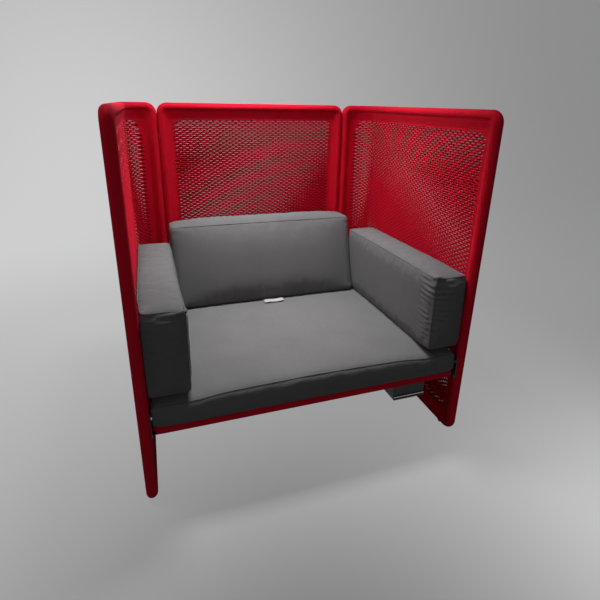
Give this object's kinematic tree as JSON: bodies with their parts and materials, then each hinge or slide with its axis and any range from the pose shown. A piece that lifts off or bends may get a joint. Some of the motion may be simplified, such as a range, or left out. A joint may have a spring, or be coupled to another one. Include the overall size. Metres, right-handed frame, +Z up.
{
  "type": "acoustic high back lounge chair",
  "caption": "Wide lounge seat between high padded knit mesh screens that wrap its sides and back, with loose seat, back and arm cushions.",
  "frame": {"origin": "on the floor, under the middle of the chair's width and depth", "axes": "+Z up, the chair faces -Y, +X to the right when seen from the front"},
  "size_m": [1.3, 1.0399, 1.35],
  "materials": {
    "frame_steel": "black powder coat",
    "padded_knit": "fine red knit over thin padding",
    "knit_net": "red net knit with lens-shaped slits",
    "zinc_fixings": "zinc plated",
    "black_steel": "black powder coat",
    "glide_plastic": "matt black",
    "box_plastic": "matt black",
    "box_trim": "satin",
    "cushion_fabric": "plain woven grey upholstery cloth",
    "tag_cloth": "bare white cloth"
  },
  "bodies": {
    "frame": {"left_screen_tube": "frame_steel", "right_screen_tube": "frame_steel", "back_screen_tube": "frame_steel", "left_screen_rim": "padded_knit", "right_screen_rim": "padded_knit", "back_screen_rim": "padded_knit", "left_net_inner": "knit_net", "left_net_outer": "knit_net", "right_net_inner": "knit_net", "right_net_outer": "knit_net", "back_net_inner": "knit_net", "back_net_outer": "knit_net", "left_corner_net_inner": "knit_net", "left_corner_net_outer": "knit_net", "right_corner_net_inner": "knit_net", "right_corner_net_outer": "knit_net", "seam_bolts": "zinc_fixings", "glides": "glide_plastic", "seat_tube": "frame_steel", "seat_cross_bars": "frame_steel", "seat_cover": "padded_knit", "left_front_bracket": "black_steel", "right_front_bracket": "black_steel", "left_rear_bracket": "black_steel", "right_rear_bracket": "black_steel", "bracket_bolts": "zinc_fixings", "bracket_screws": "zinc_fixings", "under_seat_box": "box_plastic", "under_seat_box_trim": "box_trim"},
    "seat_cushion": {"seat_cushion": "cushion_fabric"},
    "back_cushion": {"back_cushion": "cushion_fabric", "blank_tag": "tag_cloth"},
    "left_arm_cushion": {"left_arm_cushion": "cushion_fabric"},
    "right_arm_cushion": {"right_arm_cushion": "cushion_fabric"}
  },
  "joints": [
    {"name": "seat_cushion_lift", "type": "slide", "parent": "frame", "child": "seat_cushion", "axis": [0, 0, 1], "range_m": [0, 0.3]},
    {"name": "back_cushion_lift", "type": "slide", "parent": "seat_cushion", "child": "back_cushion", "axis": [0, 0, 1], "range_m": [0, 0.25]},
    {"name": "left_arm_cushion_lift", "type": "slide", "parent": "seat_cushion", "child": "left_arm_cushion", "axis": [0, 0, 1], "range_m": [0, 0.25]},
    {"name": "right_arm_cushion_lift", "type": "slide", "parent": "seat_cushion", "child": "right_arm_cushion", "axis": [0, 0, 1], "range_m": [0, 0.25]}
  ]
}
